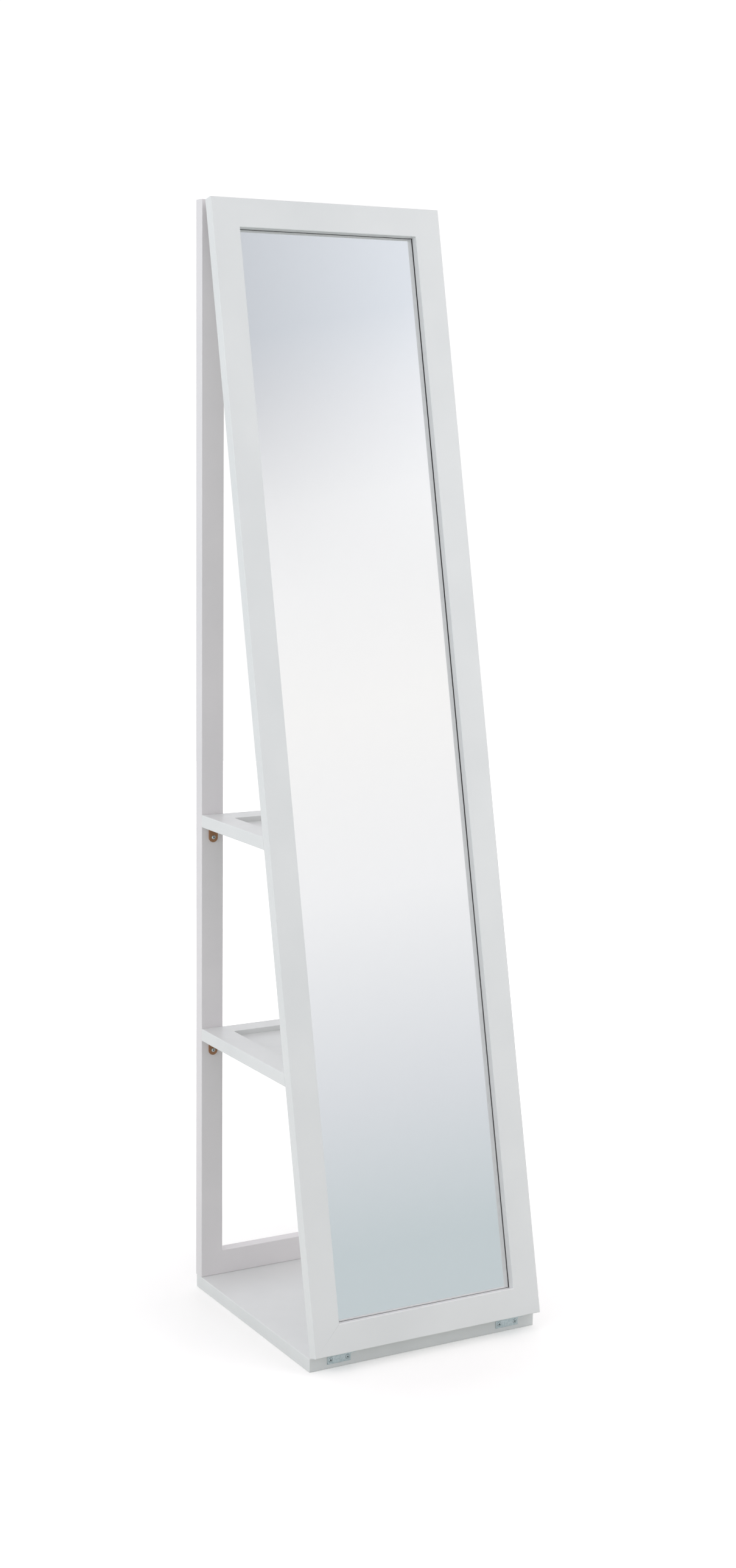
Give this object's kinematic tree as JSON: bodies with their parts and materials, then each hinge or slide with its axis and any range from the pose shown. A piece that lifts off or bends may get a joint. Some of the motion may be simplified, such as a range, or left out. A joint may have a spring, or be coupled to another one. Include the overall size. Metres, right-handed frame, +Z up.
{
  "type": "leaning floor mirror with shelves",
  "caption": "Free-standing full-length mirror: a framed glass hinged on a base board leans back on an upright open frame with tray-topped shelves behind it.",
  "frame": {"origin": "middle of the base board's underside, on the floor", "axes": "+X to the viewer's right, +Y to the back, +Z up; the mirror faces -Y"},
  "size_m": [0.4, 0.4183, 1.742],
  "materials": {
    "white_lacquer": "white satin lacquer on board",
    "mirror_glass": "silvered float glass",
    "backing_board": "white-faced hardboard",
    "bronze_bracket": "brown lacquered steel",
    "zinc_steel": "bright zinc plate",
    "beech_biscuit": "raw beech"
  },
  "bodies": {
    "stand": {"back_bottom_rail": "white_lacquer", "back_frame_biscuits": "beech_biscuit", "back_left_stile": "white_lacquer", "back_right_stile": "white_lacquer", "back_top_rail": "white_lacquer", "base_hinge_leaf_left": "zinc_steel", "base_hinge_leaf_right": "zinc_steel", "base_leaf_screws": "zinc_steel", "base_panel": "white_lacquer", "base_screws": "zinc_steel", "bracket_shelf_screws": "zinc_steel", "bracket_stile_screws": "zinc_steel", "hinge_pin_left": "zinc_steel", "hinge_pin_right": "zinc_steel", "lower_left_bracket": "bronze_bracket", "lower_right_bracket": "bronze_bracket", "lower_shelf": "white_lacquer", "upper_left_bracket": "bronze_bracket", "upper_right_bracket": "bronze_bracket", "upper_shelf": "white_lacquer"},
    "mirror_door": {"backing_panel": "backing_board", "glazing_points": "zinc_steel", "mirror_bottom_rail": "white_lacquer", "mirror_frame_biscuits": "beech_biscuit", "mirror_glass": "mirror_glass", "mirror_hinge_leaf_left": "zinc_steel", "mirror_hinge_leaf_right": "zinc_steel", "mirror_leaf_screws": "zinc_steel", "mirror_left_stile": "white_lacquer", "mirror_right_stile": "white_lacquer", "mirror_top_rail": "white_lacquer"}
  },
  "joints": [
    {"name": "mirror_swing", "type": "hinge", "parent": "stand", "child": "mirror_door", "pos_m": [0, -0.20065, 0.02186], "axis": [1, 0, 0], "range_deg": [0, 100]}
  ]
}
